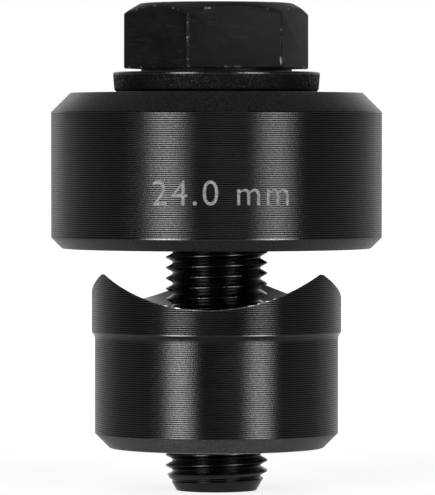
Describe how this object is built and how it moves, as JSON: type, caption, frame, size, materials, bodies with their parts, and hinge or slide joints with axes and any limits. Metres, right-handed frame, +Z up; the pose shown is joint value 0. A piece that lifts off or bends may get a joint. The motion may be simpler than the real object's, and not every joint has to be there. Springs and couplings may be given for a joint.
{
  "type": "knockout punch",
  "caption": "Knockout punch for round holes in sheet metal: a hex-headed draw bolt turns in a washer and a cup-shaped die and pulls a pointed, hollow-ground punch up into the die's mouth.",
  "frame": {"origin": "centre of the bolt's flat end, where the tool stands", "axes": "+Z up the bolt's axis, from its end to the hex head; -Y towards the viewer of the picture"},
  "size_m": [0.0318, 0.0318, 0.0468],
  "materials": {
    "bolt_black_steel": "black oxide on a forged head and a rolled thread, worn bright at the corners",
    "washer_black_steel": "black oxide on blanked plate, with a grainy sheared rim",
    "die_black_steel": "black oxide over fine turning marks, satin",
    "punch_black_steel": "black oxide over fine turning marks, satin, with a bright cutting edge"
  },
  "bodies": {
    "die": {"die": "die_black_steel", "thrust_washer": "washer_black_steel"},
    "bolt": {"draw_bolt": "bolt_black_steel"},
    "punch": {"punch": "punch_black_steel"}
  },
  "joints": [
    {"name": "bolt_turn", "type": "hinge", "parent": "die", "child": "bolt", "pos_m": [0, 0, 0], "axis": [0, 0, -1], "range_deg": [-1445, 4325]},
    {"name": "punch_draw", "type": "slide", "parent": "die", "child": "punch", "axis": [0, 0, 1], "range_m": [-0.004, 0.012]}
  ],
  "couplings": [
    {"joint": "bolt_turn", "follows": "punch_draw", "rad_per_m": 6283.2}
  ]
}
